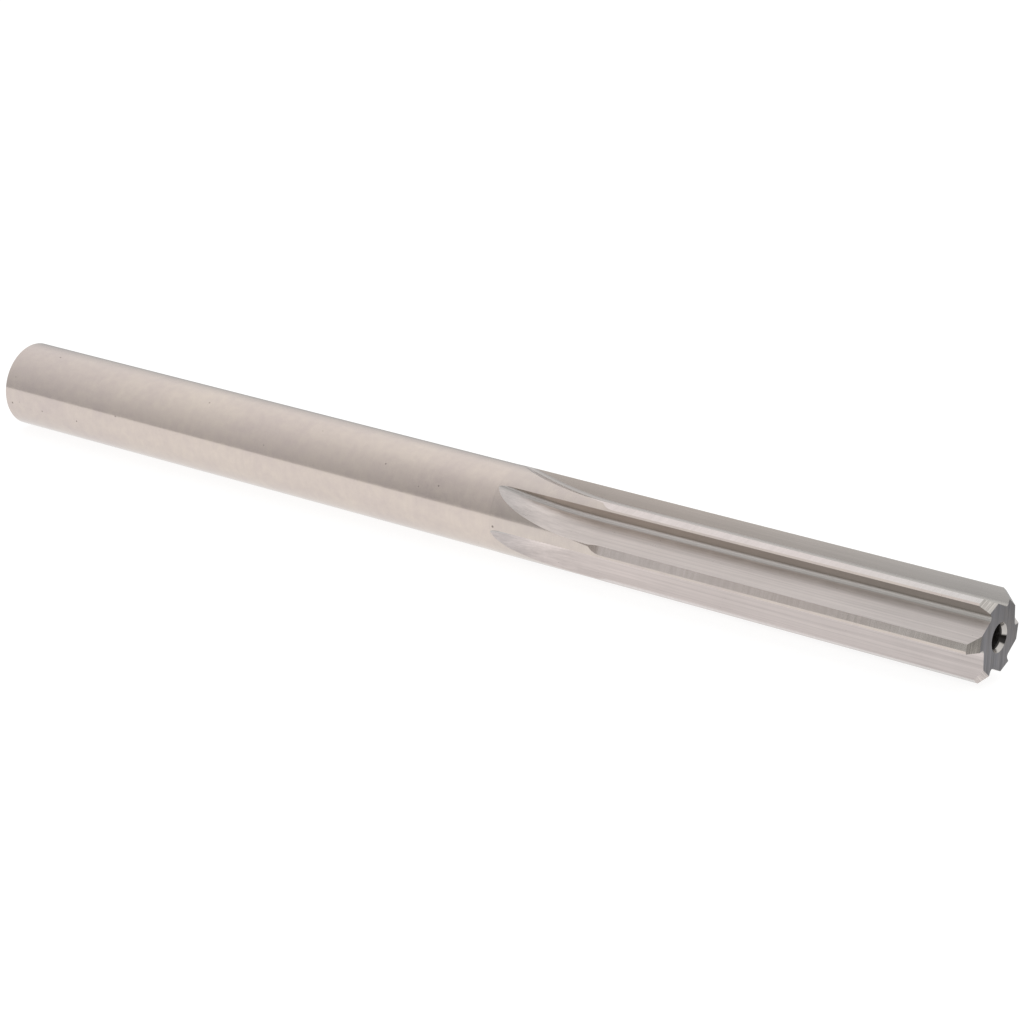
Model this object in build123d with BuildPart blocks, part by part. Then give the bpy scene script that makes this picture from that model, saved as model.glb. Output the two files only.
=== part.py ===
# Straight-shank machine reamer with straight flutes, one piece ground from the bar.
# Millimetres, +Z up. The tool lies along X, tip towards +X.

import math
import os

from build123d import *

# Blank, turned and ground between centres
overall_length = 133.0
cutting_diameter = 10.0
body_length = 60.0  # ground to the cutting diameter, from the tip
shank_diameter = 9.95
shank_blend_length = 1.2  # slight cone between the shank and the body
shank_end_chamfer = 0.15

# Teeth and flutes: each flute is one pass of a grinding wheel
tooth_count = 6
flute_full_length = 46.7  # at full depth, from the tip
flute_depth = 1.82
flute_floor_rise = 1.2  # degrees, from the rake face out to the heel
flute_corner_radius = 0.38
flute_wheel_radius = 50.0
flute_skew = 0.25  # degrees, the teeth drift round this little on the way back from the tip

# Land behind each cutting edge: a round margin, then a flat that falls away
margin_width = 0.3
relief_angle = 14.0
relief_full_length = 45.2  # from the tip
relief_wheel_radius = 9.0

# Cutting chamfer on the tip of each tooth
chamfer_length = 1.0
chamfer_angle = 45.0
chamfer_relief_angle = 10.0

# Centre holes, one in each end
centre_mouth_diameter = 3.2
centre_pilot_diameter = 2.48
centre_cone_angle = 60.0
centre_pilot_length = 3.4
centre_point_angle = 118.0

rest_turn = -26.1  # degrees, first cutting edge from straight up as the tool lies
wheel_clearance = 1.0  # how far each wheel and drill runs clear of the metal

# Sizes that follow from those above
cutting_radius = cutting_diameter / 2
shank_radius = shank_diameter / 2
root_radius = cutting_radius - flute_depth
blank_radius = max(cutting_radius, shank_radius)
clear_radius = blank_radius + wheel_clearance


# Length over which a wheel climbs out of a cut of the given depth
def run_out(depth, wheel_radius):
    return math.sqrt(wheel_radius**2 - (wheel_radius - depth) ** 2)


# The next shapes stand on Z with the tip face at the origin and the shank below it.
# The first cutting edge is in the XZ plane, on the +X side, and cuts towards +Y.

# Wheel pass of one flute: its side grinds the rake face, its rim the floor
flute_side_height = clear_radius - root_radius
flute_exit = flute_full_length + run_out(flute_side_height, flute_wheel_radius)
floor_turn = math.radians(flute_floor_rise)
with BuildPart() as flute_pass:
    with BuildSketch(Plane.XZ):
        with BuildLine():
            floor = Line((root_radius, wheel_clearance), (root_radius, -flute_full_length))
            climb = TangentArc(floor @ 1, (clear_radius, -flute_exit), tangent=floor % 1)
            Polyline(climb @ 1, (clear_radius, wheel_clearance), floor @ 0)
        make_face()
    extrude(amount=blank_radius, dir=(math.sin(floor_turn), math.cos(floor_turn), 0))
    rake_side = flute_pass.faces().sort_by(Axis.Y)[0]
    wheel_corner = rake_side.edges().filter_by(
        lambda edge: edge.center().X < clear_radius - flute_depth / 2 and edge.center().Z < 0
    )
    fillet(wheel_corner, radius=flute_corner_radius)

# Wheel pass that relieves one land, from the margin towards the heel
margin_turn = math.degrees(margin_width / cutting_radius)
relief_heading = math.radians(-90 - margin_turn - relief_angle)
relief_height = wheel_clearance
relief_plane = Plane(
    origin=Vector(cutting_radius, 0, 0).rotate(Axis.Z, -margin_turn),
    x_dir=(0, 0, -1),
    z_dir=(math.cos(relief_heading), math.sin(relief_heading), 0),
)
relief_exit = relief_full_length + run_out(relief_height, relief_wheel_radius)
with BuildPart() as relief_pass:
    with BuildSketch(relief_plane):
        with BuildLine():
            flat = Line((-wheel_clearance, 0), (relief_full_length, 0))
            lift = TangentArc(flat @ 1, (relief_exit, relief_height), tangent=flat % 1)
            Polyline(lift @ 1, (-wheel_clearance, relief_height), flat @ 0)
        make_face()
    extrude(amount=flute_depth, both=True)

# Wheel pass that grinds the chamfer of one tooth, with its relief
slant = math.radians(chamfer_angle)
chamfer_depth = chamfer_length * math.tan(slant)
chamfer_fall = math.radians(chamfer_relief_angle)
chamfer_normal = Vector(math.cos(slant), 0, math.sin(slant))
chamfer_heading = Vector(0, -math.cos(chamfer_fall), 0) - chamfer_normal * math.sin(chamfer_fall)
chamfer_plane = Plane(
    origin=(cutting_radius - chamfer_depth, 0, 0),
    x_dir=(math.sin(slant), 0, -math.cos(slant)),
    z_dir=chamfer_heading,
)
with BuildPart() as chamfer_pass:
    with BuildSketch(chamfer_plane):
        with Locations((-wheel_clearance, 0)):
            Rectangle(
                chamfer_length / math.cos(slant) + 2 * wheel_clearance,
                flute_depth + wheel_clearance,
                align=(Align.MIN, Align.MIN),
            )
    extrude(amount=root_radius, both=True)

# Centre drill: 60 degree seat, pilot bore and drill point
mouth_radius = centre_mouth_diameter / 2
pilot_radius = centre_pilot_diameter / 2
seat_slope = math.tan(math.radians(centre_cone_angle / 2))
seat_depth = (mouth_radius - pilot_radius) / seat_slope
point_depth = pilot_radius / math.tan(math.radians(centre_point_angle / 2))
pilot_end = seat_depth + centre_pilot_length
with BuildPart() as centre_drill:
    with BuildSketch(Plane.XZ):
        with BuildLine():
            Polyline(
                (0, wheel_clearance),
                (mouth_radius + wheel_clearance * seat_slope, wheel_clearance),
                (pilot_radius, -seat_depth),
                (pilot_radius, -pilot_end),
                (0, -pilot_end - point_depth),
                close=True,
            )
        make_face()
    revolve(axis=Axis.Z)

# The blank, with its teeth ground and both ends centred
with BuildPart() as standing_tool:
    with BuildSketch(Plane.XZ):
        with BuildLine():
            Polyline(
                (0, 0),
                (cutting_radius, 0),
                (cutting_radius, -body_length),
                (shank_radius, -body_length - shank_blend_length),
                (shank_radius, -overall_length + shank_end_chamfer),
                (shank_radius - shank_end_chamfer, -overall_length),
                (0, -overall_length),
                close=True,
            )
        make_face()
    revolve(axis=Axis.Z)
    with PolarLocations(0, tooth_count):
        add(flute_pass.part, rotation=(flute_skew, 0, 0), mode=Mode.SUBTRACT)
        add(relief_pass.part, rotation=(flute_skew, 0, 0), mode=Mode.SUBTRACT)
        add(chamfer_pass.part, mode=Mode.SUBTRACT)
    with Locations((0, 0, 0), Location((0, 0, -overall_length), (180, 0, 0))):
        add(centre_drill.part, mode=Mode.SUBTRACT)

# The same tool lying on its side, its axis level
first_edge_turn = math.radians(rest_turn)
bench = Plane(
    origin=(overall_length / 2, 0, blank_radius),
    x_dir=(0, -math.sin(first_edge_turn), math.cos(first_edge_turn)),
    z_dir=(1, 0, 0),
)
with BuildPart(bench) as reamer:
    add(standing_tool.part)
reamer.part.label = "reamer"

os.makedirs("parts", exist_ok=True)
export_step(reamer.part, "parts/reamer.step")
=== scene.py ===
import math

import bmesh
import bpy
from mathutils import Matrix, Vector


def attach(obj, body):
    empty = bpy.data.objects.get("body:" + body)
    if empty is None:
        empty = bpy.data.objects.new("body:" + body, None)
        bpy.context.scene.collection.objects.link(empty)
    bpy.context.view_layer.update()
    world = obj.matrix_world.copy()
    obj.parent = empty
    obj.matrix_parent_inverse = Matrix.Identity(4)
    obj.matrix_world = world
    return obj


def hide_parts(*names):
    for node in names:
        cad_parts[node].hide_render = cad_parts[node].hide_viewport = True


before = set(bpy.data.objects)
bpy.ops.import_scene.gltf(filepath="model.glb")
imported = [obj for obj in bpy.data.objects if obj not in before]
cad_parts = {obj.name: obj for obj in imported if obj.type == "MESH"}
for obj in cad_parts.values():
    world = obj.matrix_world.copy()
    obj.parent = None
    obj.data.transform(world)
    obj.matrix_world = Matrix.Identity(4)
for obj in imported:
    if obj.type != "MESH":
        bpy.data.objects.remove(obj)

scene = bpy.context.scene
mm = 0.001
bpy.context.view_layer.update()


# Camera: a long lens, from the tip end and a little above
cameraSetup = {
    "place": (208.332, -275.722, 137.197),  # mm
    "azimuth": 36.2764,
    "elevation": 21.182,
    "roll": -0.04,
    "lens": 117.0,
}
cameraData = bpy.data.cameras.new("studioCamera")
cameraData.lens = cameraSetup["lens"]
cameraData.sensor_width = 36.0
cameraData.clip_start = 0.01
cameraData.clip_end = 20.0
camera = bpy.data.objects.new("studioCamera", cameraData)
camera.location = [value * mm for value in cameraSetup["place"]]
camera.rotation_euler = (
    Matrix.Rotation(math.radians(cameraSetup["azimuth"]), 3, "Z")
    @ Matrix.Rotation(math.radians(90 - cameraSetup["elevation"]), 3, "X")
    @ Matrix.Rotation(math.radians(cameraSetup["roll"]), 3, "Z")).to_euler()
scene.collection.objects.link(camera)
scene.camera = camera
scene.view_settings.view_transform = "Standard"
print("camera placed")


# The tool's own sizes, in mm and degrees
toolSizes = {
    "overallLength": 133.0,
    "cuttingDiameter": 10.0,
    "bodyLength": 60.0,
    "shankDiameter": 9.95,
    "blendLength": 1.2,
    "shankEndChamfer": 0.15,
    "toothCount": 6,
    "fluteFullLength": 46.7,
    "fluteDepth": 1.82,
    "floorRise": 1.2,
    "cornerRadius": 0.38,
    "fluteWheelRadius": 50.0,
    "fluteSkew": 0.25,
    "marginWidth": 0.3,
    "reliefAngle": 14.0,
    "reliefFullLength": 45.2,
    "reliefWheelRadius": 9.0,
    "chamferLength": 1.0,
    "chamferAngle": 45.0,
    "chamferRelief": 10.0,
    "mouthDiameter": 3.2,
    "pilotDiameter": 2.48,
    "coneAngle": 60.0,
    "pilotLength": 3.4,
    "pointAngle": 118.0,
    "restTurn": -26.1,  # first cutting edge from straight up
}
# How many faces each strip of one tooth space gets across the tool
stripColumns = {
    "landStart": 4, "rake": 5, "fillet": 8, "floor": 14, "relief": 7, "land": 24,
}
# and how many stations along it: where relief and flute run out, and down the shank
stationSteps = {"relief": 30, "flute": 56, "shank": 12}
closeness = {"weld": 3e-7, "sameSpot": 2e-8, "onPlane": 5e-8, "slice": 1e-8}  # metres
farFromEdges = 9.0  # mm, written where no rubbed edge highlight is painted
zoneNames = [
    "shank", "land", "rake", "fillet", "floor", "relief",
    "facet", "tipFace", "seat", "bore", "backFace",
]
zoneIndex = {name: index for index, name in enumerate(zoneNames)}

cutRadius = toolSizes["cuttingDiameter"] / 2
shankRadius = toolSizes["shankDiameter"] / 2
rootRadius = cutRadius - toolSizes["fluteDepth"]
sector = math.radians(360 / toolSizes["toothCount"])
floorSin = math.sin(math.radians(toolSizes["floorRise"]))
floorCos = math.cos(math.radians(toolSizes["floorRise"]))
marginTurn = toolSizes["marginWidth"] / cutRadius
reliefTurn = math.radians(toolSizes["reliefAngle"])
facetInner = cutRadius - toolSizes["chamferLength"] * math.tan(
    math.radians(toolSizes["chamferAngle"]))


# How far a grinding wheel has climbed, a given way past the end of its full cut
def wheelRise(past, wheelRadius):
    if past <= 0:
        return 0.0
    return wheelRadius - math.sqrt(max(wheelRadius ** 2 - past ** 2, 0.0))


def wheelTravel(rise, wheelRadius):
    return math.sqrt(rise * (2 * wheelRadius - rise))


def blankRadius(back):  # radius of the ground bar, a given way back from the tip
    start = toolSizes["bodyLength"]
    share = min(max((back - start) / toolSizes["blendLength"], 0.0), 1.0)
    return cutRadius + (shankRadius - cutRadius) * share


def onCircle(radius, turn):
    return (radius * math.cos(turn), radius * math.sin(turn))


def evenSteps(first, last, count):
    return [first + (last - first) * i / count for i in range(count + 1)]


def arcPoints(radius, first, last, count):
    return [onCircle(radius, turn) for turn in evenSteps(first, last, count)]


def straightPoints(first, last, count):
    return list(zip(evenSteps(first[0], last[0], count), evenSteps(first[1], last[1], count)))


# Place of the rounded corner between rake face and floor: for a given floor height,
# and a given drift of the rake face across the tool
def filletPlace(floorHeight, drift):
    r = toolSizes["cornerRadius"]
    middle = (floorHeight + r * (1 + floorSin) / floorCos, drift + r)
    foot = (middle[0] - r * floorCos, middle[1] + r * floorSin)
    return middle, foot


skewSlope = math.tan(math.radians(toolSizes["fluteSkew"]))
fluteEnd = toolSizes["fluteFullLength"]
for _ in range(20):  # the end moves a little with the drift, so it is found step by step
    endFoot = filletPlace(0.0, fluteEnd * skewSlope)[1]
    endRise = math.sqrt(cutRadius ** 2 - endFoot[1] ** 2) - endFoot[0] - rootRadius
    fluteEnd = toolSizes["fluteFullLength"] + wheelTravel(endRise, toolSizes["fluteWheelRadius"])
fluteEndTurn = math.asin(endFoot[1] / cutRadius)


def driftAt(back):  # how far the rake face has drifted across, a given way back
    return min(back, fluteEnd) * skewSlope


# Where a straight line from a point first leaves the blank and the relief flat
def floorExit(foot, radius, reliefDistance, reliefHeading):
    heading = (floorSin, floorCos)
    along = foot[0] * heading[0] + foot[1] * heading[1]
    gap = foot[0] ** 2 + foot[1] ** 2 - radius ** 2
    reach = -along + math.sqrt(max(along ** 2 - gap, 0.0))
    onRelief = False
    if reliefDistance is not None:
        normal = (math.cos(reliefHeading), math.sin(reliefHeading))
        closing = heading[0] * normal[0] + heading[1] * normal[1]
        flatReach = (reliefDistance - foot[0] * normal[0] - foot[1] * normal[1]) / closing
        if flatReach < reach:
            reach, onRelief = flatReach, True
    return (foot[0] + heading[0] * reach, foot[1] + heading[1] * reach), onRelief


# The outline of one tooth space, from a cutting edge round to the next one.
# Each strip is a list of points (along the first tooth's radius, across it).
def spaceOutline(back):
    radius = blankRadius(back)
    corner = toolSizes["cornerRadius"]
    counts = stripColumns
    drift = driftAt(back)
    seamTurn = math.asin(drift / cutRadius)
    if back >= fluteEnd - 1e-9:
        point = onCircle(radius, fluteEndTurn)
        outline = {name: [point] * (counts[name] + 1)
                   for name in ("rake", "fillet", "floor", "relief")}
        outline["landStart"] = arcPoints(radius, seamTurn, fluteEndTurn, counts["landStart"])
        outline["land"] = arcPoints(radius, fluteEndTurn, seamTurn + sector, counts["land"])
        return outline

    height = rootRadius + wheelRise(
        back - toolSizes["fluteFullLength"], toolSizes["fluteWheelRadius"])
    middle, foot = filletPlace(height, drift)
    firstTurn, lastTurn = math.radians(270), math.radians(180 - toolSizes["floorRise"])

    def filletPoint(turn):
        return (middle[0] + corner * math.cos(turn), middle[1] + corner * math.sin(turn))

    edgeHeight = math.sqrt(radius ** 2 - drift ** 2)
    cornerOut = middle[0] > edgeHeight
    if cornerOut:  # the corner is cut off by the round of the blank
        low, high = lastTurn, firstTurn
        for _ in range(60):
            half = (low + high) / 2
            if math.hypot(*filletPoint(half)) > radius:
                high = half
            else:
                low = half
        firstTurn = low
    start = filletPoint(firstTurn)
    edgeTurn = math.atan2(start[1], start[0]) if cornerOut else seamTurn

    lift = wheelRise(
        back - toolSizes["reliefFullLength"], toolSizes["reliefWheelRadius"])
    reliefHeading = sector - marginTurn - reliefTurn
    reliefDistance = (cutRadius * math.cos(reliefTurn) + lift
                      - drift * math.sin(marginTurn + reliefTurn))
    spread = math.acos(min(reliefDistance / cutRadius, 1.0))
    if reliefDistance >= cutRadius:
        reliefDistance = None
    heel, onRelief = floorExit(foot, radius, reliefDistance, reliefHeading)
    heelTurn = math.atan2(heel[1], heel[0])
    if onRelief and reliefHeading + spread > heelTurn:
        reliefEnd = onCircle(radius, reliefHeading + spread)
        landTurn = reliefHeading + spread
    else:
        reliefEnd, landTurn = heel, heelTurn

    return {
        "landStart": arcPoints(radius, seamTurn, edgeTurn, counts["landStart"]),
        "rake": [start] * (counts["rake"] + 1) if cornerOut
        else straightPoints((edgeHeight, drift), (middle[0], drift), counts["rake"]),
        "fillet": [filletPoint(turn)
                   for turn in evenSteps(firstTurn, lastTurn, counts["fillet"])],
        "floor": straightPoints(foot, heel, counts["floor"]),
        "relief": straightPoints(heel, reliefEnd, counts["relief"]),
        "land": arcPoints(radius, landTurn, seamTurn + sector, counts["land"]),
    }


# Stations along the tool, close together where a wheel climbs out
def stationList():
    full, relief = toolSizes["fluteFullLength"], toolSizes["reliefFullLength"]
    stations = [0.0, 0.4, 0.8, 1.2, 1.6, 2.4, 4, 7, 11, 16, 22, 28, 34, 39, 42.5]
    reliefRise = cutRadius * (1 - math.cos(reliefTurn))
    for turn in evenSteps(0.0, math.pi / 2, stationSteps["relief"]):
        stations.append(relief + wheelTravel(
            reliefRise * math.sin(turn), toolSizes["reliefWheelRadius"]))
    narrow = endFoot[1]
    wide = math.sqrt(cutRadius ** 2 - rootRadius ** 2)
    for i in range(stationSteps["flute"]):
        width = narrow + (wide - narrow) * (1 - i / stationSteps["flute"])
        rise = max(math.sqrt(cutRadius ** 2 - width ** 2) - rootRadius, 0.0)
        stations.append(full + wheelTravel(rise, toolSizes["fluteWheelRadius"]))
    filletStart = math.sqrt(cutRadius ** 2 - driftAt(fluteEnd) ** 2) - filletPlace(0.0, 0.0)[0][0]
    stations.append(full + wheelTravel(
        filletStart - rootRadius, toolSizes["fluteWheelRadius"]))
    stations = [s for s in stations if s < fluteEnd - 0.01]  # mm, none right before the end
    body, blend = toolSizes["bodyLength"], toolSizes["blendLength"]
    length, chamfer = toolSizes["overallLength"], toolSizes["shankEndChamfer"]
    stations += [fluteEnd, body]
    stations += evenSteps(body + blend, length - chamfer, stationSteps["shank"])
    ordered = []
    for s in sorted(stations):
        if not ordered or s - ordered[-1] > 0.004:  # mm, closer ones are left out
            ordered.append(s)
    return ordered


# One sixth of the tool about its own axis: first tooth straight up, tip towards +X
def buildSector():
    bm = bmesh.new()
    uvLayer = bm.loops.layers.uv.new("alongAcross")  # mm along the tool, mm across a strip
    zoneLayer = bm.faces.layers.int.new("zone")
    gapLayer = bm.verts.layers.float.new("edgeGap")  # mm to the nearest ground edge
    tipX = toolSizes["overallLength"] / 2

    def place(back, point):
        return Vector(((tipX - back) * mm, -point[1] * mm, point[0] * mm))

    def addFace(corners, zone, uvs):
        distinct = []
        for vert, uv in zip(corners, uvs):
            if all((vert.co - other.co).length > closeness["sameSpot"]
                   for other, _ in distinct):
                distinct.append((vert, uv))
        if len(distinct) < 3:
            return
        face = bm.faces.new([vert for vert, _ in distinct])
        face[zoneLayer] = zoneIndex[zone]
        for loop, (_, uv) in zip(face.loops, distinct):
            loop[uvLayer].uv = uv

    order = ["landStart", "rake", "fillet", "floor", "relief", "land"]
    stations = stationList()
    rows = []
    for back in stations:
        outline = spaceOutline(back)
        row = {}
        across = 0.0
        previous = None
        for name in order:
            points = outline[name]
            measured = []
            for point in points:
                if previous is not None:
                    across += math.dist(point, previous)
                previous = point
                measured.append(across)
            verts = []
            for point, reach in zip(points, measured):
                vert = bm.verts.new(place(back, point))
                ends = min(reach - measured[0], measured[-1] - reach)
                vert[gapLayer] = ends if back < fluteEnd else farFromEdges
                verts.append(vert)
            row[name] = (verts, measured)
        rows.append(row)
    for k in range(len(stations) - 1):
        near, far = rows[k], rows[k + 1]
        for name in order:
            zone = name
            if name in ("land", "landStart"):
                inBody = stations[k + 1] <= toolSizes["bodyLength"] + 1e-6
                zone = "land" if inBody else "shank"
            nearVerts, nearAcross = near[name]
            farVerts, farAcross = far[name]
            for i in range(len(nearVerts) - 1):
                addFace(
                    (nearVerts[i], farVerts[i], farVerts[i + 1], nearVerts[i + 1]), zone,
                    ((stations[k], nearAcross[i]), (stations[k + 1], farAcross[i]),
                     (stations[k + 1], farAcross[i + 1]), (stations[k], nearAcross[i + 1])))

    # the tip chamfer: one flat on this sector's own tooth, one on the next tooth
    bmesh.ops.remove_doubles(bm, verts=bm.verts, dist=closeness["weld"])
    slant = math.radians(toolSizes["chamferAngle"])
    fall = math.radians(toolSizes["chamferRelief"])
    flatNormal = Vector((math.sin(slant), 0, math.cos(slant)))
    heading = Vector((0, math.cos(fall), 0)) - flatNormal * math.sin(fall)
    alongEdge = Vector((-math.cos(slant), 0, math.sin(slant)))
    normal = heading.cross(alongEdge)
    if normal.x < 0:
        normal = -normal
    edgeFoot = place(0.0, (facetInner, 0.0))
    turnSector = Matrix.Rotation(sector, 3, "X")

    def cutAlong(planePoint, planeNormal):
        reach = 3.0  # mm back from the tip, all that the chamfer can touch
        near = [f for f in bm.faces if f.calc_center_median().x > (tipX - reach) * mm]
        geometry = list({*near, *(e for f in near for e in f.edges),
                         *(v for f in near for v in f.verts)})
        bmesh.ops.bisect_plane(
            bm, geom=geometry, dist=closeness["slice"], plane_co=planePoint,
            plane_no=planeNormal, clear_outer=True)
        return [v for v in bm.verts
                if abs((v.co - planePoint).dot(planeNormal)) < closeness["onPlane"]]

    rakeCut = cutAlong(edgeFoot, normal)
    nextFoot, nextNormal = turnSector @ edgeFoot, turnSector @ normal
    landCut = cutAlong(nextFoot, nextNormal)
    boundary = {v for e in bm.edges if e.is_boundary for v in e.verts}
    chain = [v for v in landCut if v in boundary]
    rakeLine = [v for v in rakeCut if v in boundary
                and abs(v.co.y / mm + driftAt(tipX - v.co.x / mm)) < 3e-5]

    def vertAt(co):
        for v in bm.verts:
            if (v.co - co).length < closeness["weld"]:
                return v
        return bm.verts.new(co)

    facetVerts = list(chain)
    for v in rakeLine:
        found = vertAt(turnSector @ v.co)
        if found not in facetVerts:
            facetVerts.append(found)
    centre = sum((v.co for v in facetVerts), Vector()) / len(facetVerts)
    sideways = (turnSector @ alongEdge).normalized()
    upwards = nextNormal.cross(sideways)
    facetVerts.sort(key=lambda v: math.atan2(
        (v.co - centre).dot(upwards), (v.co - centre).dot(sideways)))
    facet = bm.faces.new(facetVerts)
    facet.normal_update()
    if facet.normal.dot(nextNormal) < 0:
        facet.normal_flip()
    facet[zoneLayer] = zoneIndex["facet"]
    for loop in facet.loops:
        reach = loop.vert.co - nextFoot
        loop[uvLayer].uv = (reach.dot(sideways) / mm, reach.dot(upwards) / mm)

    # centre holes, rings of verts from the mouth to the drill point
    mouth, pilot = toolSizes["mouthDiameter"] / 2, toolSizes["pilotDiameter"] / 2
    seatDepth = (mouth - pilot) / math.tan(math.radians(toolSizes["coneAngle"] / 2))
    pilotEnd = seatDepth + toolSizes["pilotLength"]
    pointEnd = pilotEnd + pilot / math.tan(math.radians(toolSizes["pointAngle"] / 2))
    holeColumns = 12
    length = toolSizes["overallLength"]

    def addHole(fromBack, direction):
        rings = [(mouth, 0.0, "seat"), ((mouth + pilot) / 2, seatDepth / 2, "seat"),
                 (pilot, seatDepth, "bore"), (pilot, (seatDepth + pilotEnd) / 2, "bore"),
                 (pilot, pilotEnd, "bore"), (0.0, pointEnd, None)]
        built = []
        for radius, depth, _ in rings:
            if radius:
                built.append([bm.verts.new(place(
                    fromBack + direction * depth, onCircle(radius, sector * i / holeColumns)))
                    for i in range(holeColumns + 1)])
            else:
                point = bm.verts.new(place(fromBack + direction * depth, (0.0, 0.0)))
                built.append([point] * (holeColumns + 1))
        for k in range(len(rings) - 1):
            for i in range(holeColumns):
                corners = [built[k][i], built[k][i + 1], built[k + 1][i + 1], built[k + 1][i]]
                if direction < 0:
                    corners.reverse()
                turns = [sector * j / holeColumns for j in (i, i + 1, i + 1, i)]
                depths = [rings[j][1] for j in (k, k, k + 1, k + 1)]
                if direction < 0:
                    turns.reverse()
                    depths.reverse()
                addFace(corners, rings[k][2],
                        [(depth, turn * pilot) for depth, turn in zip(depths, turns)])
        for row in built:
            for vert in row:
                vert[gapLayer] = farFromEdges
        return built[0]

    tipMouth = addHole(0.0, 1)
    backMouth = addHole(length, -1)

    # the flat faces at the two ends
    def endFace(loop, zone, facing):
        face = bm.faces.new(loop)
        face.normal_update()
        if face.normal.x * facing < 0:
            face.normal_flip()
        face[zoneLayer] = zoneIndex[zone]
        for corner in face.loops:
            corner[uvLayer].uv = (corner.vert.co.y / mm, corner.vert.co.z / mm)

    def turnOf(v):
        return math.atan2(-v.co.y, v.co.z)

    onTip = [v for v in boundary
             if v.is_valid and abs(v.co.x - tipX * mm) < closeness["sameSpot"]]
    rakeFoot = sorted((v for v in onTip if abs(v.co.y) < closeness["slice"]),
                      key=lambda v: v.co.z)
    outside = sorted((v for v in onTip if abs(v.co.y) >= closeness["slice"]), key=turnOf)
    corner = vertAt(turnSector @ rakeFoot[-1].co)
    rim = [rakeFoot[0]] + [v for v in outside if v is not corner] + [corner]
    rim += [vertAt(turnSector @ v.co) for v in reversed(rakeFoot[:-1])]
    endFace(rim + list(reversed(tipMouth)), "tipFace", 1)

    # the small chamfer and the flat at the shank end
    chamferStart = length - toolSizes["shankEndChamfer"]
    inner = shankRadius - toolSizes["shankEndChamfer"]
    seamTurn = math.asin(driftAt(length) / cutRadius)
    lastTurns = evenSteps(seamTurn, fluteEndTurn, stripColumns["landStart"])[:-1]
    lastTurns += evenSteps(fluteEndTurn, seamTurn + sector, stripColumns["land"])
    backRim = [bm.verts.new(place(length, onCircle(inner, turn))) for turn in lastTurns]
    edgeRow = [vertAt(place(chamferStart, onCircle(shankRadius, turn))) for turn in lastTurns]
    for i in range(len(backRim) - 1):
        start, stop = lastTurns[i] * shankRadius, lastTurns[i + 1] * shankRadius
        addFace((edgeRow[i], backRim[i], backRim[i + 1], edgeRow[i + 1]), "shank",
                ((chamferStart, start), (length, start), (length, stop), (chamferStart, stop)))
    endFace(backRim + list(reversed(backMouth)), "backFace", -1)
    for v in backRim:
        v[gapLayer] = farFromEdges

    mesh = bpy.data.meshes.new("toothSpace")
    bm.normal_update()
    bm.to_mesh(mesh)
    bm.free()
    return mesh


white = (1, 1, 1, 1)


# Node helper: makes a node, sets its fields, then fills or links its inputs
def addNode(tree, kind, inputs=None, **fields):
    node = tree.nodes.new(kind)
    for name, value in fields.items():
        setattr(node, name, value)
    for name, value in (inputs or {}).items():
        socket = node.inputs[name]
        if isinstance(value, bpy.types.NodeSocket):
            tree.links.new(value, socket)
        else:
            socket.default_value = value
    return node


def mathNode(tree, operation, *values, clamp=False):
    return addNode(tree, "ShaderNodeMath", dict(enumerate(values)),
                   operation=operation, use_clamp=clamp).outputs[0]


def vectorMath(tree, operation, first, second):
    return addNode(tree, "ShaderNodeVectorMath", {0: first, 1: second}, operation=operation)


def partsOf(tree, vector):
    return addNode(tree, "ShaderNodeSeparateXYZ", {0: vector}).outputs


def joined(tree, x=0.0, y=0.0, z=0.0):
    return addNode(tree, "ShaderNodeCombineXYZ", {"X": x, "Y": y, "Z": z}).outputs[0]


def mapRange(tree, value, fromMin, fromMax, toMin=0.0, toMax=1.0, **fields):
    return addNode(tree, "ShaderNodeMapRange", {
        "Value": value, "From Min": fromMin, "From Max": fromMax,
        "To Min": toMin, "To Max": toMax}, **fields).outputs[0]


def contrasted(tree, value, contrast):  # spread about a half
    spread = mathNode(tree, "MULTIPLY", mathNode(tree, "SUBTRACT", value, 0.5), contrast)
    return mathNode(tree, "ADD", spread, 0.5, clamp=True)


def mixColour(tree, factor, first, second, blend="MIX"):
    return addNode(tree, "ShaderNodeMix", {0: factor, 6: first, 7: second},
                   data_type="RGBA", blend_type=blend).outputs[2]


def multiplied(tree, colour, other):
    return mixColour(tree, 1.0, colour, other, "MULTIPLY")


def greyColour(tree, tone):
    return addNode(tree, "ShaderNodeCombineColor", {
        "Red": tone, "Green": tone, "Blue": tone}).outputs[0]


def groupNode(tree, group, inputs=None):
    return addNode(tree, "ShaderNodeGroup", inputs, node_tree=group)


# Starts a node group: its inputs are (kind, value) by name, its outputs are kinds by name
def newGroup(name, inputs, outputs, treeKind="ShaderNodeTree"):
    tree = bpy.data.node_groups.new(name, treeKind)
    for title, (kind, *value) in inputs.items():
        socket = tree.interface.new_socket(
            name=title, in_out="INPUT", socket_type="NodeSocket" + kind)
        if value:
            socket.default_value = value[0]
    for title, kind in outputs.items():
        tree.interface.new_socket(
            name=title, in_out="OUTPUT", socket_type="NodeSocket" + kind)
    into, out = tree.nodes.new("NodeGroupInput"), tree.nodes.new("NodeGroupOutput")
    return tree, into.outputs, out.inputs


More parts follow.
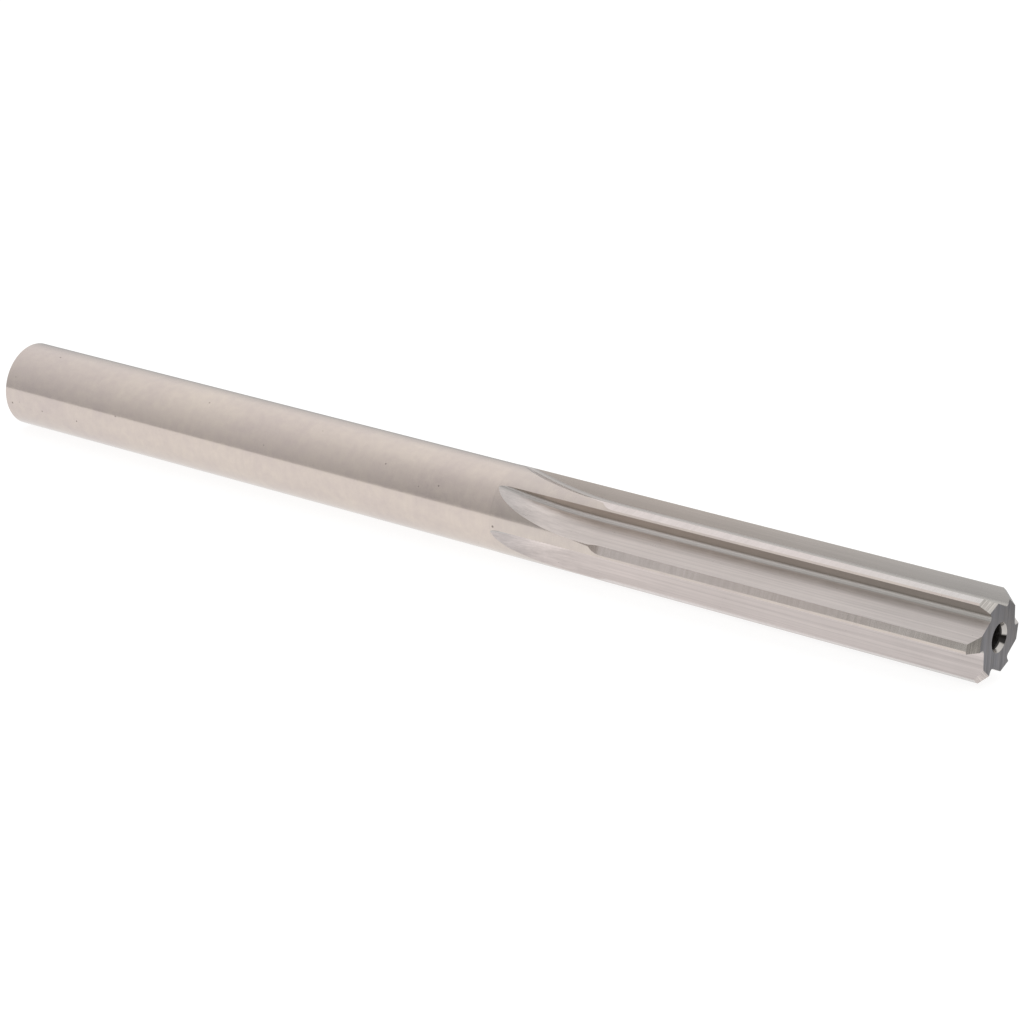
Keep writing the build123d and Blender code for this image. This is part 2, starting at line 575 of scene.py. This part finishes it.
# Shader group: object place in millimetres, as grinding and dirt are measured
def makePlaceGroup():
    tree, _, result = newGroup("placeInMm", {}, {
        "Place": "Vector", "Along": "Float", "Turned": "Vector", "Strip": "Vector",
        "Facing": "Vector", "Lengthwise": "Vector", "Angle": "Float"})
    coords = addNode(tree, "ShaderNodeTexCoord")
    place = vectorMath(tree, "MULTIPLY", coords.outputs["Object"], (1000,) * 3).outputs[0]
    x, y, z = partsOf(tree, place)
    height = mathNode(tree, "SUBTRACT", z, cutRadius)
    turn = mathNode(tree, "ARCTAN2", y, height)
    strip = partsOf(tree, addNode(tree, "ShaderNodeUVMap", uv_map="alongAcross").outputs["UV"])
    tooth = addNode(tree, "ShaderNodeAttribute", attribute_name="toothNumber").outputs["Fac"]
    apart = mathNode(tree, "MULTIPLY", tooth, 17.3)  # no two teeth share a pattern
    steep = mathNode(tree, "MULTIPLY", height, 12.5)  # lines as fine up and down as across
    frames = {
        "Place": place, "Along": x, "Angle": turn,
        "Turned": joined(tree, x, mathNode(tree, "MULTIPLY", turn, cutRadius)),
        "Strip": joined(tree, strip["X"], strip["Y"], apart),
        "Facing": joined(tree, y, height, x), "Lengthwise": joined(tree, x, y, steep),
    }
    for name, socket in frames.items():
        tree.links.new(socket, result[name])
    return tree


# Shader group: soft blotches, 0 to 1 about a half
def makeMottleGroup():
    tree, given, result = newGroup("softMottle", {
        "Place": ("Vector",), "Size": ("Float", 1.0), "Detail": ("Float", 3.0),
        "Contrast": ("Float", 2.0)}, {"Factor": "Float"})
    noise = addNode(tree, "ShaderNodeTexNoise", {
        "Vector": given["Place"], "Scale": mathNode(tree, "DIVIDE", 1.0, given["Size"]),
        "Detail": given["Detail"], "Roughness": 0.55})
    tree.links.new(contrasted(tree, noise.outputs["Fac"], given["Contrast"]),
                   result["Factor"])
    return tree


# Shader group: fine parallel grinding lines, in two sizes
def makeGrindGroup():
    tree, given, result = newGroup("grindLines", {
        "Place": ("Vector",), "Along": ("Float", 10.0), "Across": ("Float", 0.1),
        "Turn": ("Float", 0.0), "Contrast": ("Float", 2.0)},
        {"Lines": "Float", "Height": "Float"})
    spun = addNode(tree, "ShaderNodeVectorRotate", {
        "Vector": given["Place"], "Angle": given["Turn"]}, rotation_type="Z_AXIS")
    stretch = joined(tree, mathNode(tree, "DIVIDE", 1.0, given["Along"]),
                     mathNode(tree, "DIVIDE", 1.0, given["Across"]), 1.0)
    drawn = vectorMath(tree, "MULTIPLY", spun.outputs[0], stretch).outputs[0]
    coarse, fine = (addNode(tree, "ShaderNodeTexNoise", {
        "Vector": drawn, "Scale": scale, "Detail": 2.0, "Roughness": 0.6}).outputs["Fac"]
        for scale in (0.4, 2.2))
    mixed = mathNode(tree, "ADD", mathNode(tree, "MULTIPLY", coarse, 0.6),
                     mathNode(tree, "MULTIPLY", fine, 0.4))
    tree.links.new(contrasted(tree, mixed, given["Contrast"]), result["Lines"])
    tree.links.new(fine, result["Height"])
    return tree


# Full close by, and fading out with the distance
def nearMask(tree, far, radius, reach):
    return mathNode(tree, "SUBTRACT", reach, mathNode(tree, "DIVIDE", far, radius), clamp=True)


# Shader group: a few tiny dark pits scattered over the steel
def makePitGroup():
    tree, given, result = newGroup("tinyPits", {
        "Place": ("Vector",), "Spacing": ("Float", 2.0), "Radius": ("Float", 0.07)},
        {"Mask": "Float"})
    cells = addNode(tree, "ShaderNodeTexVoronoi", {
        "Vector": given["Place"], "Scale": mathNode(tree, "DIVIDE", 1.0, given["Spacing"])})
    far = mathNode(tree, "MULTIPLY", cells.outputs["Distance"], given["Spacing"])
    tree.links.new(nearMask(tree, far, given["Radius"], 1.4), result["Mask"])
    return tree


# Shader group: one small mark at a given place on the unrolled bar
def makeMarkGroup():
    tree, given, result = newGroup("smallMark", {
        "Place": ("Vector",), "At": ("Vector",), "Radius": ("Float", 0.1)}, {"Mask": "Float"})
    far = vectorMath(tree, "DISTANCE", given["Place"], given["At"]).outputs["Value"]
    tree.links.new(nearMask(tree, far, given["Radius"], 1.5), result["Mask"])
    return tree


# Shader group: rubbed edges, wear painted lighter as a highlight, from the distance to the
# nearest ground edge
def makeEdgeGroup():
    tree, given, result = newGroup("rubbedEdgeHighlight", {
        "Place": ("Vector",), "Width": ("Float", 0.06)}, {"Mask": "Float"})
    gap = addNode(tree, "ShaderNodeAttribute", attribute_name="edgeGap")
    ragged = addNode(tree, "ShaderNodeTexNoise", {
        "Vector": given["Place"], "Scale": 2.5, "Detail": 3.0})
    width = mathNode(tree, "MULTIPLY", given["Width"],
                     mathNode(tree, "MULTIPLY", ragged.outputs["Fac"], 2.0))
    tree.links.new(nearMask(tree, gap.outputs["Fac"], width, 1.0), result["Mask"])
    return tree


# Shader group: painted light and shade that changes across a strip, from one place to another:
# darker down the rake face towards the flute's corner, lighter on the floor beside it
def makeFadeGroup():
    tree, given, result = newGroup("cornerLightAndShade", {
        "Strip": ("Vector",), "Starts At": ("Float", 0.0), "Full At": ("Float", 1.4),
        "Last": ("Float", 0.8)}, {"Factor": "Float"})
    across = partsOf(tree, given["Strip"])["Y"]
    tree.links.new(mapRange(tree, across, given["Starts At"], given["Full At"], 1.0,
                            given["Last"]), result["Factor"])
    return tree


# Shader group: a painted reflection of the dark bore, a wedge in the cone of a centre hole, and a
# painted shade ring at its inner edge
def makeSeatGroup():
    tree, given, result = newGroup("seatShadeAndReflection", {
        "Strip": ("Vector",), "Angle": ("Float", 0.0), "Middle": ("Float", 2.04),
        "Half Width": ("Float", 0.3), "Ring At": ("Float", 0.45)}, {"Mask": "Float"})
    away = mathNode(tree, "WRAP", mathNode(
        tree, "SUBTRACT", given["Angle"], given["Middle"]), math.pi, -math.pi)
    past = mathNode(tree, "SUBTRACT", mathNode(tree, "ABSOLUTE", away), given["Half Width"])
    deep = mathNode(tree, "SUBTRACT", partsOf(tree, given["Strip"])["X"], given["Ring At"])
    tree.links.new(mathNode(tree, "MAXIMUM", mapRange(tree, past, -0.06, 0.06, 1.0, 0.0),
                            mapRange(tree, deep, -0.03, 0.03)), result["Mask"])
    return tree


# Shader group: a tint that comes in gradually along the tool
def makeTintGroup():
    tree, given, result = newGroup("alongTint", {
        "Along": ("Float", 0.0), "Starts At": ("Float", 40.0), "Full At": ("Float", 66.0),
        "Last": ("Color", white)}, {"Tint": "Color"})
    share = mapRange(tree, given["Along"], given["Starts At"], given["Full At"])
    tree.links.new(mixColour(tree, share, white, given["Last"]), result["Tint"])
    return tree


# Shader group: painted light and shade, each tooth space given its own tone by how it faces the
# light
def makeToothShadeGroup():
    numbers = range(toolSizes["toothCount"])
    tree, given, result = newGroup("toothLightAndShade", {
        f"Tone {number}": ("Color", white) for number in numbers}, {"Tone": "Color"})
    tooth = addNode(tree, "ShaderNodeAttribute", attribute_name="toothNumber").outputs["Fac"]
    tone = white
    for number in numbers:
        isThis = mathNode(tree, "COMPARE", tooth, float(number), 0.4)
        tone = mixColour(tree, isThis, tone, given[f"Tone {number}"])
    tree.links.new(tone, result["Tone"])
    return tree


placeGroup, mottleGroup, grindGroup = makePlaceGroup(), makeMottleGroup(), makeGrindGroup()
pitGroup, markGroup, edgeGroup = makePitGroup(), makeMarkGroup(), makeEdgeGroup()
fadeGroup, seatGroup = makeFadeGroup(), makeSeatGroup()
tintGroup, toothShadeGroup = makeTintGroup(), makeToothShadeGroup()
print("shader groups made")


# What each ground surface looks like; values not given are those of "plainFinish".
# Passes: painted light and shade, the tone of single tooth spaces. Fade: (starts at, full at,
# last tone) across a strip, painted shade and light near the flute's corner. Tints: (starts at,
# full at, last colour) along the tool.
plainFinish = {
    "frame": "Strip", "turn": 0.0, "contrast": 2.5, "pits": 0.0, "edge": 0.0,
    "fade": None, "tints": (), "toothShades": None, "marks": (),
}
shankMarks = (  # mm along the tool, mm round it, radius
    (-0.9, -5.2, 0.08), (-8.7, -4.3, 0.08), (-65.4, -8.8, 0.11), (-60.5, -8.9, 0.08),
    (-54.9, -9.0, 0.09), (-60.5, -1.3, 0.09), (-48.5, -7.0, 0.08), (-35.9, -2.4, 0.07),
)
# real pits and marks, and painted light: the rubbed edge highlight and the seat's painted
# reflection and shade
dirtAndPaintedLightColours = {
    "rubbedHighlight": (0.8, 0.74, 0.7), "pit": (0.12, 0.105, 0.1), "mark": (0.14, 0.11, 0.1),
    "wedge": (0.042, 0.039, 0.038),
}
steelFinish = {
    "shank": {"light": (0.725, 0.638, 0.565), "dark": (0.622, 0.538, 0.508),
              "rough": (0.09, 0.17), "mottle": 1.1, "frame": "Turned",
              "along": 0.09, "across": 9.0, "lineShade": 0.03,
              "bump": 0.25, "pits": 0.055, "marks": shankMarks,
              "tints": ((-42.0, -66.0, (0.95, 0.955, 0.975)),)},
    "land": {"light": (0.725, 0.638, 0.565), "dark": (0.622, 0.538, 0.508),
             "rough": (0.09, 0.16), "mottle": 1.1, "frame": "Turned",
             "along": 0.09, "across": 7.0, "lineShade": 0.04,
             "bump": 0.25, "pits": 0.05, "marks": ((7.0, -8.1, 0.13),),
             "tints": ((5.0, 10.0, (0.93, 0.945, 0.955)),)},
    "rake": {"light": (0.755, 0.675, 0.62), "dark": (0.69, 0.615, 0.562),
             "rough": (0.16, 0.24), "mottle": 4.0, "frame": "Lengthwise",
             "along": 14.0, "across": 0.08, "lineShade": 0.1,
             "bump": 0.3, "pits": 0.04, "edge": 0.03, "fade": (0.0, 1.45, 0.81),
             "tints": ((25.0, 64.0, (0.89, 0.955, 1.0)),),
             "toothShades": {1: (0.77, 0.765, 0.735), 2: (0.95, 0.95, 0.95)}},
    "fillet": {"light": (0.672, 0.635, 0.612), "dark": (0.614, 0.578, 0.557),
               "rough": (0.4, 0.5), "mottle": 3.0, "frame": "Lengthwise",
               "along": 15.0, "across": 0.3, "lineShade": 0.06,
               "bump": 0.3, "tints": ((25.0, 64.0, (0.88, 0.9, 0.89)),
                                      (22.0, 12.0, (0.92, 0.925, 0.925)))},
    "floor": {"light": (0.71, 0.632, 0.605), "dark": (0.625, 0.558, 0.533),
              "rough": (0.26, 0.38), "mottle": 2.5, "frame": "Lengthwise",
              "along": 14.0, "across": 0.08, "lineShade": 0.2, "contrast": 3.5,
              "bump": 0.35, "pits": 0.05, "fade": (2.9, 2.04, 1.28),
              "tints": ((25.0, 60.0, (0.915, 0.93, 0.94)),
                        (13.0, 8.5, (0.7, 0.715, 0.725))),
              "toothShades": {1: (1.055, 1.07, 1.065)}},
    "relief": {"light": (0.755, 0.685, 0.665), "dark": (0.69, 0.62, 0.595),
               "rough": (0.13, 0.2), "mottle": 3.0,
               "along": 0.16, "across": 3.0, "turn": 0.12, "lineShade": 0.14,
               "bump": 0.4, "tints": ((45.0, 64.0, (0.91, 0.96, 0.965)),),
               "toothShades": {0: (1.04, 1.04, 1.04), 1: (1.165, 1.165, 1.15)}},
    "facet": {"light": (0.76, 0.72, 0.675), "dark": (0.6, 0.565, 0.53),
              "rough": (0.2, 0.3), "mottle": 1.0,
              "along": 0.08, "across": 5.0, "turn": 0.2, "lineShade": 0.36,
              "contrast": 6.0, "bump": 1.0,
              "toothShades": {1: (0.93, 0.91, 0.89), 2: (1.1, 1.045, 1.06),
                         5: (0.78, 0.79, 0.8)}},
    "tipFace": {"light": (0.228, 0.228, 0.25), "dark": (0.205, 0.187, 0.178),
                "rough": (0.3, 0.45), "mottle": 0.9, "frame": "Facing",
                "along": 0.24, "across": 9.0, "turn": 0.06, "lineShade": 0.48,
                "contrast": 4.5, "bump": 0.5},
    "seat": {"light": (0.66, 0.63, 0.6), "dark": (0.53, 0.5, 0.47),
             "rough": (0.16, 0.26), "mottle": 0.7,
             "along": 0.1, "across": 3.0, "lineShade": 0.15, "bump": 0.5},
    # painted shade: the bore is given a much darker colour than the steel, for the dark inside of
    # the hole
    "bore": {"light": (0.26, 0.245, 0.24), "dark": (0.2, 0.188, 0.183),
             "rough": (0.35, 0.5), "mottle": 0.7,
             "along": 0.15, "across": 3.0, "lineShade": 0.15, "bump": 0.5},
    "backFace": {"light": (0.5, 0.455, 0.42), "dark": (0.4, 0.37, 0.345),
                 "rough": (0.25, 0.38), "mottle": 1.2, "frame": "Facing",
                 "along": 0.25, "across": 6.0, "turn": 0.4, "lineShade": 0.2,
                 "bump": 0.5},
}


def steelMaterial(name, ownFinish):
    finish = {**plainFinish, **ownFinish}
    material = bpy.data.materials.new(name)
    material.use_nodes = True
    tree = material.node_tree
    tree.nodes.clear()
    out = tree.nodes.new("ShaderNodeOutputMaterial")
    metal = addNode(tree, "ShaderNodeBsdfPrincipled", {"Metallic": 1.0})
    tree.links.new(metal.outputs[0], out.inputs["Surface"])
    place = groupNode(tree, placeGroup)
    blotches = groupNode(tree, mottleGroup, {
        "Place": place.outputs["Place"], "Size": finish["mottle"], "Contrast": 2.2})
    clouds = groupNode(tree, mottleGroup, {
        "Place": place.outputs["Place"], "Size": finish["mottle"] * 6, "Contrast": 2.0,
        "Detail": 2.0})
    lines = groupNode(tree, grindGroup, {
        "Place": place.outputs[finish["frame"]], "Along": finish["along"],
        "Across": finish["across"], "Turn": finish["turn"],
        "Contrast": finish["contrast"]})
    shade = mathNode(tree, "ADD", mathNode(tree, "MULTIPLY", blotches.outputs[0], 0.5),
                     mathNode(tree, "MULTIPLY", clouds.outputs[0], 0.5))
    colour = mixColour(tree, shade, (*finish["dark"], 1), (*finish["light"], 1))
    lineTone = mapRange(tree, lines.outputs["Lines"], 0.0, 1.0, 1 - finish["lineShade"])
    colour = multiplied(tree, colour, greyColour(tree, lineTone))
    # rubbed edges: wear, painted lighter than the steel as a highlight
    if finish["edge"]:
        rubbedHighlight = groupNode(tree, edgeGroup, {
            "Place": place.outputs["Place"], "Width": finish["edge"]})
        colour = mixColour(tree, mathNode(tree, "MULTIPLY", rubbedHighlight.outputs[0], 0.5),
                           colour, (*dirtAndPaintedLightColours["rubbedHighlight"], 1))
    if finish["pits"]:
        pits = groupNode(tree, pitGroup, {
            "Place": place.outputs["Place"], "Spacing": 2.2, "Radius": finish["pits"]})
        colour = mixColour(tree, mathNode(tree, "MULTIPLY", pits.outputs[0], 0.8),
                           colour, (*dirtAndPaintedLightColours["pit"], 1))
    for along, around, radius in finish["marks"]:
        mark = groupNode(tree, markGroup, {
            "Place": place.outputs["Turned"], "At": (along, around, 0.0), "Radius": radius})
        colour = mixColour(tree, mathNode(tree, "MULTIPLY", mark.outputs[0], 0.75),
                           colour, (*dirtAndPaintedLightColours["mark"], 1))
    # painted shade on the rake towards the flute's corner, painted light on the floor beside it
    if finish["fade"]:
        startsAt, fullAt, last = finish["fade"]
        tone = groupNode(tree, fadeGroup, {
            "Strip": place.outputs["Strip"], "Starts At": startsAt, "Full At": fullAt,
            "Last": last}).outputs[0]
        colour = multiplied(tree, colour, greyColour(tree, tone))
    # painted light and shade: the tones of single tooth spaces
    if finish["toothShades"]:
        tone = groupNode(tree, toothShadeGroup, {
            f"Tone {number}": (*value, 1) for number, value in finish["toothShades"].items()})
        colour = multiplied(tree, colour, tone.outputs[0])
    for startsAt, fullAt, last in finish["tints"]:
        tint = groupNode(tree, tintGroup, {
            "Along": place.outputs["Along"], "Starts At": startsAt, "Full At": fullAt,
            "Last": (*last, 1)})
        colour = multiplied(tree, colour, tint.outputs[0])
    # painted reflection of the dark bore, and painted shade at the seat's inner ring
    if name.endswith("seat"):
        wedge = groupNode(tree, seatGroup, {
            "Strip": place.outputs["Strip"], "Angle": place.outputs["Angle"]})
        colour = mixColour(tree, wedge.outputs[0], colour, (*dirtAndPaintedLightColours["wedge"], 1))
    tree.links.new(colour, metal.inputs["Base Color"])
    rough = mathNode(tree, "ADD", mathNode(tree, "MULTIPLY", blotches.outputs[0], 0.6),
                     mathNode(tree, "MULTIPLY", lines.outputs["Lines"], 0.4))
    tree.links.new(mapRange(tree, rough, 0.0, 1.0, *finish["rough"]),
                   metal.inputs["Roughness"])
    bump = addNode(tree, "ShaderNodeBump", {
        "Strength": finish["bump"], "Distance": 0.000004, "Height": lines.outputs["Height"]})
    tree.links.new(bump.outputs[0], metal.inputs["Normal"])
    return material


zoneMaterial = {name: steelMaterial("ground_" + name, finish)
                for name, finish in steelFinish.items()}
print("materials built:", len(zoneMaterial))


mergeDistance = 4e-7  # metres, over the seams between tooth spaces


# Geometry Nodes: one tooth space repeated about the axis, merged, and given its finishes
def makeRingTree():
    tree, given, result = newGroup("toothRing", {
        "Tooth Space": ("Geometry",), "Teeth": ("Int", 6), "Rest Turn": ("Float", 0.0),
        "Axis Height": ("Float", 0.005), "Merge Distance": ("Float", mergeDistance),
        **{name: ("Material",) for name in zoneNames}},
        {"Tool": "Geometry"}, "GeometryNodeTree")
    tree.is_modifier = True
    points = addNode(tree, "GeometryNodePoints", {
        "Count": given["Teeth"], "Position": joined(tree, z=given["Axis Height"])})
    index = addNode(tree, "GeometryNodeInputIndex").outputs[0]
    step = mathNode(tree, "DIVIDE", 2 * math.pi, given["Teeth"])
    turn = mathNode(tree, "MULTIPLY_ADD", index, step, given["Rest Turn"])
    spin = addNode(tree, "FunctionNodeEulerToRotation", {0: joined(tree, turn)})
    copies = addNode(tree, "GeometryNodeInstanceOnPoints", {
        "Points": points.outputs[0], "Instance": given["Tooth Space"],
        "Rotation": spin.outputs[0]})
    numbered = addNode(tree, "GeometryNodeStoreNamedAttribute", {
        "Geometry": copies.outputs[0], "Name": "copyNumber", "Value": index},
        data_type="FLOAT", domain="INSTANCE")
    real = addNode(tree, "GeometryNodeRealizeInstances", {0: numbered.outputs[0]})
    copyNumber = addNode(tree, "GeometryNodeInputNamedAttribute", {"Name": "copyNumber"},
                         data_type="FLOAT")
    copyOut = next(s for s in copyNumber.outputs if s.enabled and s.type == "VALUE")
    # kept face by face, so that the seams between copies stay crisp after the merge
    faced = addNode(tree, "GeometryNodeStoreNamedAttribute", {
        "Geometry": real.outputs[0], "Name": "toothNumber", "Value": copyOut},
        data_type="FLOAT", domain="FACE")
    cleared = addNode(tree, "GeometryNodeRemoveAttribute", {
        "Geometry": faced.outputs[0], "Name": "copyNumber"})
    shape = addNode(tree, "GeometryNodeMergeByDistance", {
        "Geometry": cleared.outputs[0], "Distance": given["Merge Distance"]}).outputs[0]
    zone = addNode(tree, "GeometryNodeInputNamedAttribute", {"Name": "zone"},
                   data_type="INT")
    zoneOut = next(s for s in zone.outputs if s.enabled and s.type == "INT")
    for number, name in enumerate(zoneNames):
        chosen = addNode(tree, "FunctionNodeCompare", {2: zoneOut, 3: number},
                         data_type="INT", operation="EQUAL")
        shape = addNode(tree, "GeometryNodeSetMaterial", {
            "Geometry": shape, "Selection": chosen.outputs[0],
            "Material": given[name]}).outputs[0]
    tree.links.new(shape, result[0])
    return tree


def setTreeInputs(modifier, values):
    for item in modifier.node_group.interface.items_tree:
        if item.item_type == "SOCKET" and item.in_out == "INPUT" and item.name in values:
            modifier[item.identifier] = values[item.name]


sectorObject = bpy.data.objects.new("toothSpace", buildSector())
scene.collection.objects.link(sectorObject)
ring = sectorObject.modifiers.new("toothRing", "NODES")
ring.node_group = makeRingTree()
setTreeInputs(ring, {
    "Teeth": toolSizes["toothCount"], "Rest Turn": math.radians(toolSizes["restTurn"]),
    "Axis Height": cutRadius * mm, "Merge Distance": mergeDistance, **zoneMaterial})
evaluated = sectorObject.evaluated_get(bpy.context.evaluated_depsgraph_get())
toolMesh = bpy.data.meshes.new_from_object(evaluated)
toolMesh.name = "machineReamer"
sectorObject.modifiers.remove(ring)
bpy.data.objects.remove(sectorObject)
print("tooth space repeated:", len(toolMesh.vertices), "verts,", len(toolMesh.polygons), "faces")


# Smooth shading within each ground surface, crisp at the real edges
def markEdges(mesh):
    bm = bmesh.new()
    bm.from_mesh(mesh)
    zoneLayer = bm.faces.layers.int["zone"]
    blended = {frozenset((zoneIndex["rake"], zoneIndex["fillet"])),
               frozenset((zoneIndex["fillet"], zoneIndex["floor"]))}
    openEdges = 0
    for face in bm.faces:
        face.smooth = True
    for edge in bm.edges:
        if len(edge.link_faces) != 2:
            openEdges += 1
            continue
        zones = frozenset(f[zoneLayer] for f in edge.link_faces)
        angle = edge.calc_face_angle(0.0)
        limit = 2.5 if len(zones) > 1 else 25  # degrees
        edge.smooth = zones in blended or angle < math.radians(limit)
    volume = bm.calc_volume(signed=True)
    bm.to_mesh(mesh)
    bm.free()
    return openEdges, volume


openEdges, volume = markEdges(toolMesh)
print("open edges:", openEdges, "volume mm3:", round(volume * 1e9, 1))
reamer = bpy.data.objects.new("machine_reamer", toolMesh)
scene.collection.objects.link(reamer)
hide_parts("reamer")
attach(reamer, "root")


# Floor and light: a white table whose front edge the metal reflects, and soft light above
studio = {
    "floorSize": 6.0,
    "nearSize": 0.8,
    "paper": (0.3, 0.297, 0.293),
    "paperGlow": 0.84,
    "frontEdge": (-0.076, -0.068),  # where the white ends in front, in reflections
    "beyondFront": 0.57,
    "rightEdge": (0.079, 0.089),
    "beyondRight": 0.33,
    "behindTool": (0.012, 0.04),
    "backTable": 0.5,
    # painted shadow: the table's glow that the metal reflects is dimmed under the tool
    "shadeReach": 0.006,
    "shadowUnderTool": 0.1,
    "skyMiddle": 0.735,
    "skySwing": 0.30,
    "skyTilt": 40.0,  # the brightest part of the room, back from straight up
    "rightSpan": (0.25, 0.95),  # spans in the room are parts of the direction looked in
    "rightFall": 0.4,
    "lowSpan": (0.0, 0.85),
    "highShare": 0.15,
    "backSpan": (0.0, 0.3),
    "lowBackSpan": (0.0, 0.5),
    "backLow": 0.68,  # how much of the light is left low down behind
    "frontSpan": (0.2, -0.6),
    "frontDark": 0.26,  # a darker place in the front of the room
    "frontDarkAt": -0.55,
    "frontDarkWidth": 0.03,
    "warmSpan": (-0.51, -0.42),
    "aheadSpan": (0.15, 0.35),
    "frontFall": 0.5,  # and how much darker and warmer its right side is
    "frontTint": (1.0, 0.92, 0.84),
}


def makeFloor():
    bm = bmesh.new()
    half, near = studio["floorSize"] / 2, studio["nearSize"] / 2
    steps = [-half, -near, near, half]
    grid = [[bm.verts.new((x, y, 0)) for x in steps] for y in steps]
    for row, above in zip(grid, grid[1:]):
        for i in range(len(row) - 1):
            bm.faces.new((row[i], row[i + 1], above[i + 1], above[i]))
    mesh = bpy.data.meshes.new("studioTable")
    bm.to_mesh(mesh)
    bm.free()
    table = bpy.data.objects.new("studioTable", mesh)
    scene.collection.objects.link(table)
    material = bpy.data.materials.new("whiteTable")
    material.use_nodes = True
    tree = material.node_tree
    tree.nodes.clear()
    out = tree.nodes.new("ShaderNodeOutputMaterial")
    parts = partsOf(tree, addNode(tree, "ShaderNodeTexCoord").outputs["Object"])
    front = mapRange(tree, parts["Y"], *studio["frontEdge"], studio["beyondFront"])
    right = mapRange(tree, parts["X"], *studio["rightEdge"], 1.0, studio["beyondRight"])
    behind = mapRange(tree, parts["Y"], *studio["behindTool"], 1.0, studio["backTable"])
    # painted shadow under the tool, seen only in the metal's reflections
    close = mathNode(tree, "EXPONENT", mathNode(tree, "MULTIPLY", mathNode(
        tree, "POWER", mathNode(tree, "DIVIDE", parts["Y"], studio["shadeReach"]), 2.0), -1.0))
    shadowUnder = mathNode(tree, "MULTIPLY_ADD", close, -studio["shadowUnderTool"], 1.0)
    mirrored = mathNode(tree, "MULTIPLY", mathNode(tree, "MINIMUM", front, right),
                        mathNode(tree, "MULTIPLY", behind, shadowUnder))
    rays = addNode(tree, "ShaderNodeLightPath")
    reflected = addNode(tree, "ShaderNodeEmission", {"Strength": mirrored})
    paper = addNode(tree, "ShaderNodeBsdfDiffuse", {"Color": (*studio["paper"], 1)})
    seen = addNode(tree, "ShaderNodeEmission", {"Strength": studio["paperGlow"]})
    lit = addNode(tree, "ShaderNodeAddShader", {0: paper.outputs[0], 1: seen.outputs[0]})
    notCamera = mathNode(tree, "SUBTRACT", 1.0, rays.outputs["Is Camera Ray"])
    mixed = addNode(tree, "ShaderNodeMixShader", {
        0: notCamera, 1: lit.outputs[0], 2: reflected.outputs[0]})
    tree.links.new(mixed.outputs[0], out.inputs["Surface"])
    mesh.materials.append(material)


def makeWorld():
    world = bpy.data.worlds.new("softRoom")
    scene.world = world
    world.use_nodes = True
    tree = world.node_tree
    tree.nodes.clear()
    out = tree.nodes.new("ShaderNodeOutputWorld")
    heading = addNode(tree, "ShaderNodeTexCoord").outputs["Generated"]
    tilt = math.radians(studio["skyTilt"])
    toBright = vectorMath(tree, "DOT_PRODUCT", heading, (0.0, math.sin(tilt), math.cos(tilt)))
    level = mathNode(tree, "MULTIPLY_ADD", toBright.outputs["Value"], studio["skySwing"],
                     studio["skyMiddle"])
    x, y, z = partsOf(tree, heading)
    right = mapRange(tree, x, *studio["rightSpan"], 0.0, studio["rightFall"],
                     interpolation_type="SMOOTHSTEP")
    low = mapRange(tree, z, *studio["lowSpan"], 1.0, studio["highShare"])
    level = mathNode(tree, "SUBTRACT", level, mathNode(tree, "MULTIPLY", right, low))
    isBack = mapRange(tree, y, *studio["backSpan"])
    lowBack = mapRange(tree, z, *studio["lowBackSpan"], 1 - studio["backLow"], 0.0)
    level = mathNode(tree, "MULTIPLY", level, mathNode(
        tree, "SUBTRACT", 1.0, mathNode(tree, "MULTIPLY", isBack, lowBack)))
    isFront = mapRange(tree, y, *studio["frontSpan"], interpolation_type="SMOOTHSTEP")
    offset = mathNode(tree, "DIVIDE", mathNode(
        tree, "SUBTRACT", x, studio["frontDarkAt"]), studio["frontDarkWidth"])
    bell = mathNode(tree, "EXPONENT", mathNode(
        tree, "MULTIPLY", mathNode(tree, "MULTIPLY", offset, offset), -1.0))
    shade = mathNode(tree, "MULTIPLY", mathNode(
        tree, "MULTIPLY", bell, isFront), studio["frontDark"])
    level = mathNode(tree, "MULTIPLY", level, mathNode(tree, "SUBTRACT", 1.0, shade))
    fall = mapRange(tree, x, *studio["warmSpan"])
    ahead = mapRange(tree, z, *studio["aheadSpan"], 1.0, 0.0)
    warm = mathNode(tree, "MULTIPLY", fall, mathNode(tree, "MULTIPLY", isFront, ahead))
    level = mathNode(tree, "MULTIPLY", level, mathNode(
        tree, "MULTIPLY_ADD", warm, -studio["frontFall"], 1.0))
    rays = addNode(tree, "ShaderNodeLightPath")
    room = addNode(tree, "ShaderNodeBackground", {
        "Color": mixColour(tree, warm, white, (*studio["frontTint"], 1)),
        "Strength": level})
    plain = addNode(tree, "ShaderNodeBackground", {"Color": white, "Strength": 1.0})
    mixed = addNode(tree, "ShaderNodeMixShader", {
        0: rays.outputs["Is Camera Ray"], 1: room.outputs[0], 2: plain.outputs[0]})
    tree.links.new(mixed.outputs[0], out.inputs["Surface"])


makeFloor()
makeWorld()
print("table and room light made")

bpy.context.view_layer.update()
